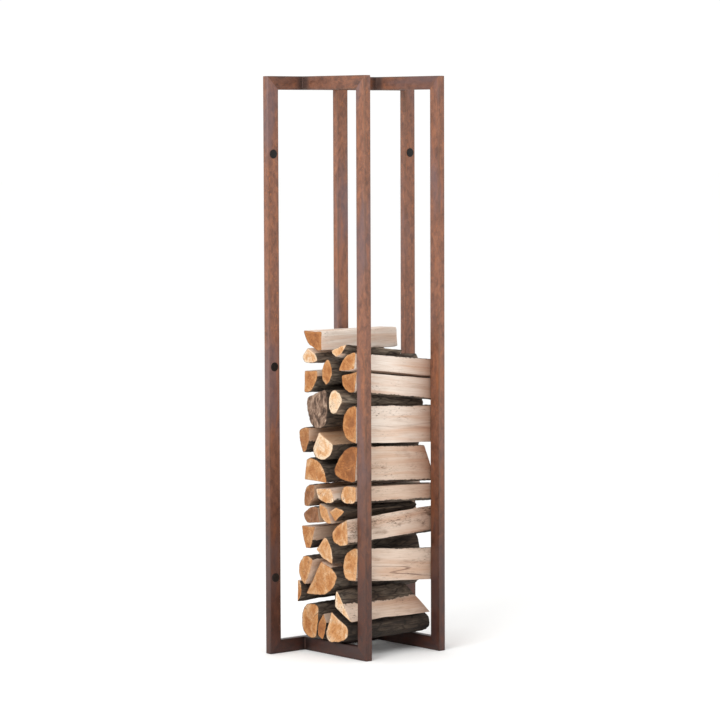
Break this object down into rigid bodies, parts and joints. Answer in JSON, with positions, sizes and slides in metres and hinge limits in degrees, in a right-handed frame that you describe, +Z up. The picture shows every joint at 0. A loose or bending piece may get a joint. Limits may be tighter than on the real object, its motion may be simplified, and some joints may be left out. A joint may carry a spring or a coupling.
{
  "type": "firewood log rack",
  "caption": "Tall narrow firewood rack: a rectangular wall frame with two C-shaped hoops of rusted steel tube, holding a stack of split logs.",
  "frame": {"origin": "on the floor, under the middle of the rack's box", "axes": "+X along the wall, to the right seen from the front; +Y into the wall; +Z up"},
  "size_m": [0.5, 0.27, 1.5],
  "materials": {
    "rust_steel": "sealed brown rust patina, satin",
    "weld_bead": "darker sealed rust",
    "black_plastic": "satin black moulding",
    "split_log": "split and sawn firewood with bark",
    "barked_log": "firewood seen mostly on its bark"
  },
  "bodies": {
    "rack": {"wall_upright_left": "rust_steel", "wall_upright_middle": "rust_steel", "wall_upright_right": "rust_steel", "wall_rail_top": "rust_steel", "wall_rail_bottom": "rust_steel", "left_hoop_top_bar": "rust_steel", "left_hoop_upright": "rust_steel", "left_hoop_bottom_bar": "rust_steel", "right_hoop_top_bar": "rust_steel", "right_hoop_upright": "rust_steel", "right_hoop_bottom_bar": "rust_steel", "weld_beads": "weld_bead", "hole_plugs": "black_plastic"},
    "log_01": {"log_01": "split_log"},
    "log_02": {"log_02": "barked_log"},
    "log_03": {"log_03": "split_log"},
    "log_04": {"log_04": "split_log"},
    "log_05": {"log_05": "split_log"},
    "log_06": {"log_06": "split_log"},
    "log_07": {"log_07": "split_log"},
    "log_08": {"log_08": "split_log"},
    "log_09": {"log_09": "split_log"},
    "log_10": {"log_10": "split_log"},
    "log_11": {"log_11": "split_log"},
    "log_12": {"log_12": "split_log"},
    "log_13": {"log_13": "split_log"},
    "log_14": {"log_14": "split_log"},
    "log_15": {"log_15": "split_log"},
    "log_16": {"log_16": "split_log"},
    "log_17": {"log_17": "split_log"},
    "log_18": {"log_18": "split_log"},
    "log_19": {"log_19": "split_log"},
    "log_20": {"log_20": "split_log"},
    "log_21": {"log_21": "split_log"},
    "log_22": {"log_22": "split_log"},
    "log_23": {"log_23": "barked_log"},
    "log_24": {"log_24": "split_log"},
    "log_25": {"log_25": "split_log"},
    "log_26": {"log_26": "split_log"},
    "log_27": {"log_27": "split_log"},
    "log_28": {"log_28": "split_log"},
    "log_29": {"log_29": "split_log"},
    "log_30": {"log_30": "barked_log"},
    "log_31": {"log_31": "split_log"}
  },
  "joints": [
    {"name": "log_01_pull", "type": "slide", "parent": "rack", "child": "log_01", "axis": [-1, 0, 0], "range_m": [0, 0.34]},
    {"name": "log_02_pull", "type": "slide", "parent": "rack", "child": "log_02", "axis": [-1, 0, 0], "range_m": [0, 0.34]},
    {"name": "log_03_pull", "type": "slide", "parent": "rack", "child": "log_03", "axis": [-1, 0, 0], "range_m": [0, 0.34]},
    {"name": "log_04_pull", "type": "slide", "parent": "rack", "child": "log_04", "axis": [-1, 0, 0], "range_m": [0, 0.34]},
    {"name": "log_05_pull", "type": "slide", "parent": "rack", "child": "log_05", "axis": [-1, 0, 0], "range_m": [0, 0.34]},
    {"name": "log_06_pull", "type": "slide", "parent": "rack", "child": "log_06", "axis": [-1, 0, 0], "range_m": [0, 0.34]},
    {"name": "log_07_pull", "type": "slide", "parent": "rack", "child": "log_07", "axis": [-1, 0, 0], "range_m": [0, 0.34]},
    {"name": "log_08_pull", "type": "slide", "parent": "rack", "child": "log_08", "axis": [0.9968, 0, -0.0797], "range_m": [0, 0.34]},
    {"name": "log_09_pull", "type": "slide", "parent": "rack", "child": "log_09", "axis": [-1, 0, 0], "range_m": [0, 0.34]},
    {"name": "log_10_pull", "type": "slide", "parent": "rack", "child": "log_10", "axis": [-0.9988, 0, -0.0499], "range_m": [0, 0.34]},
    {"name": "log_11_pull", "type": "slide", "parent": "rack", "child": "log_11", "axis": [-1, 0, 0], "range_m": [0, 0.34]},
    {"name": "log_12_pull", "type": "slide", "parent": "rack", "child": "log_12", "axis": [-1, 0, 0], "range_m": [0, 0.34]},
    {"name": "log_13_pull", "type": "slide", "parent": "rack", "child": "log_13", "axis": [-1, 0, 0], "range_m": [0, 0.34]},
    {"name": "log_14_pull", "type": "slide", "parent": "rack", "child": "log_14", "axis": [-1, 0, 0], "range_m": [0, 0.34]},
    {"name": "log_15_pull", "type": "slide", "parent": "rack", "child": "log_15", "axis": [-1, 0, 0], "range_m": [0, 0.34]},
    {"name": "log_16_pull", "type": "slide", "parent": "rack", "child": "log_16", "axis": [-1, 0, 0], "range_m": [0, 0.34]},
    {"name": "log_17_pull", "type": "slide", "parent": "rack", "child": "log_17", "axis": [-0.9992, 0, 0.04], "range_m": [0, 0.34]},
    {"name": "log_18_pull", "type": "slide", "parent": "rack", "child": "log_18", "axis": [-1, 0, 0], "range_m": [0, 0.34]},
    {"name": "log_19_pull", "type": "slide", "parent": "rack", "child": "log_19", "axis": [-0.9988, 0, 0.0499], "range_m": [0, 0.34]},
    {"name": "log_20_pull", "type": "slide", "parent": "rack", "child": "log_20", "axis": [-1, 0, 0], "range_m": [0, 0.34]},
    {"name": "log_21_pull", "type": "slide", "parent": "rack", "child": "log_21", "axis": [-1, 0, 0], "range_m": [0, 0.34]},
    {"name": "log_22_pull", "type": "slide", "parent": "rack", "child": "log_22", "axis": [-0.9988, 0, 0.0499], "range_m": [0, 0.34]},
    {"name": "log_23_pull", "type": "slide", "parent": "rack", "child": "log_23", "axis": [-1, 0, 0], "range_m": [0, 0.34]},
    {"name": "log_24_pull", "type": "slide", "parent": "rack", "child": "log_24", "axis": [-0.9968, 0, 0.0797], "range_m": [0, 0.34]},
    {"name": "log_25_pull", "type": "slide", "parent": "rack", "child": "log_25", "axis": [-0.9929, 0, 0.1191], "range_m": [0, 0.34]},
    {"name": "log_26_pull", "type": "slide", "parent": "rack", "child": "log_26", "axis": [-1, 0, 0], "range_m": [0, 0.34]},
    {"name": "log_27_pull", "type": "slide", "parent": "rack", "child": "log_27", "axis": [1, 0, 0], "range_m": [0, 0.34]},
    {"name": "log_28_pull", "type": "slide", "parent": "rack", "child": "log_28", "axis": [-0.9929, 0, 0.1191], "range_m": [0, 0.34]},
    {"name": "log_29_pull", "type": "slide", "parent": "rack", "child": "log_29", "axis": [-0.9929, 0, 0.1191], "range_m": [0, 0.34]},
    {"name": "log_30_pull", "type": "slide", "parent": "rack", "child": "log_30", "axis": [-1, 0, 0], "range_m": [0, 0.34]},
    {"name": "log_31_pull", "type": "slide", "parent": "rack", "child": "log_31", "axis": [-1, 0, 0], "range_m": [0, 0.34]}
  ]
}
